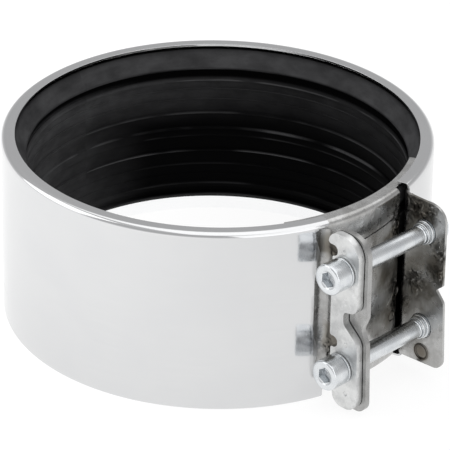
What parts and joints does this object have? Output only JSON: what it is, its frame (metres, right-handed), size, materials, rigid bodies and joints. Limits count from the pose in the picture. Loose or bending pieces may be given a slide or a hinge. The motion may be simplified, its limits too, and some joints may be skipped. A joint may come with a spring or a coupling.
{
  "type": "pipe clamp",
  "caption": "Stainless pipe coupling clamp: U-section band with a ribbed rubber sleeve, closed by parallel socket cap screws between two lugs.",
  "frame": {"origin": "on the pipe axis, at the plane of the lower rim", "axes": "+Z along the pipe axis, up; +X from the pipe axis to the middle of the closure; the screws run along Y with their heads at -Y"},
  "size_m": [0.2005, 0.18, 0.081],
  "materials": {
    "polished_stainless": "cold-rolled stainless sheet, polished to a soft mirror with a fine grain round the band",
    "dull_stainless": "stainless sheet left dull, with brown heat tint and soot round its welds",
    "galvanised_steel": "light grey zinc coating, matt with faint mottling",
    "bright_zinc": "bright zinc plating, satin",
    "black_rubber": "moulded black rubber, matt with grey talc dust on its upper faces"
  },
  "bodies": {
    "clamp": {"casing_band": "polished_stainless", "bridging_plate": "dull_stainless", "sealing_sleeve": "black_rubber", "left_lug_bracket": "dull_stainless", "right_lug_bracket": "dull_stainless", "left_clamp_plate": "galvanised_steel", "right_backing_plate": "galvanised_steel", "lower_press_nut": "bright_zinc", "upper_press_nut": "bright_zinc"},
    "lower_washer": {"lower_washer": "bright_zinc"},
    "lower_screw": {"lower_screw": "bright_zinc"},
    "upper_washer": {"upper_washer": "bright_zinc"},
    "upper_screw": {"upper_screw": "bright_zinc"}
  },
  "joints": [
    {"name": "lower_screw_travel", "type": "slide", "parent": "clamp", "child": "lower_washer", "axis": [0, -1, 0], "range_m": [0, 0.0125]},
    {"name": "lower_screw_turn", "type": "hinge", "parent": "lower_washer", "child": "lower_screw", "pos_m": [0.0983, -0.0296, 0.0207], "axis": [0, -1, 0], "range_deg": [0, 3600]},
    {"name": "upper_screw_travel", "type": "slide", "parent": "clamp", "child": "upper_washer", "axis": [0, -1, 0], "range_m": [0, 0.0125]},
    {"name": "upper_screw_turn", "type": "hinge", "parent": "upper_washer", "child": "upper_screw", "pos_m": [0.0983, -0.0296, 0.0644], "axis": [0, -1, 0], "range_deg": [0, 3600]}
  ],
  "couplings": [
    {"joint": "lower_screw_turn", "follows": "lower_screw_travel", "rad_per_m": 5026.5},
    {"joint": "upper_screw_turn", "follows": "upper_screw_travel", "rad_per_m": 5026.5}
  ]
}
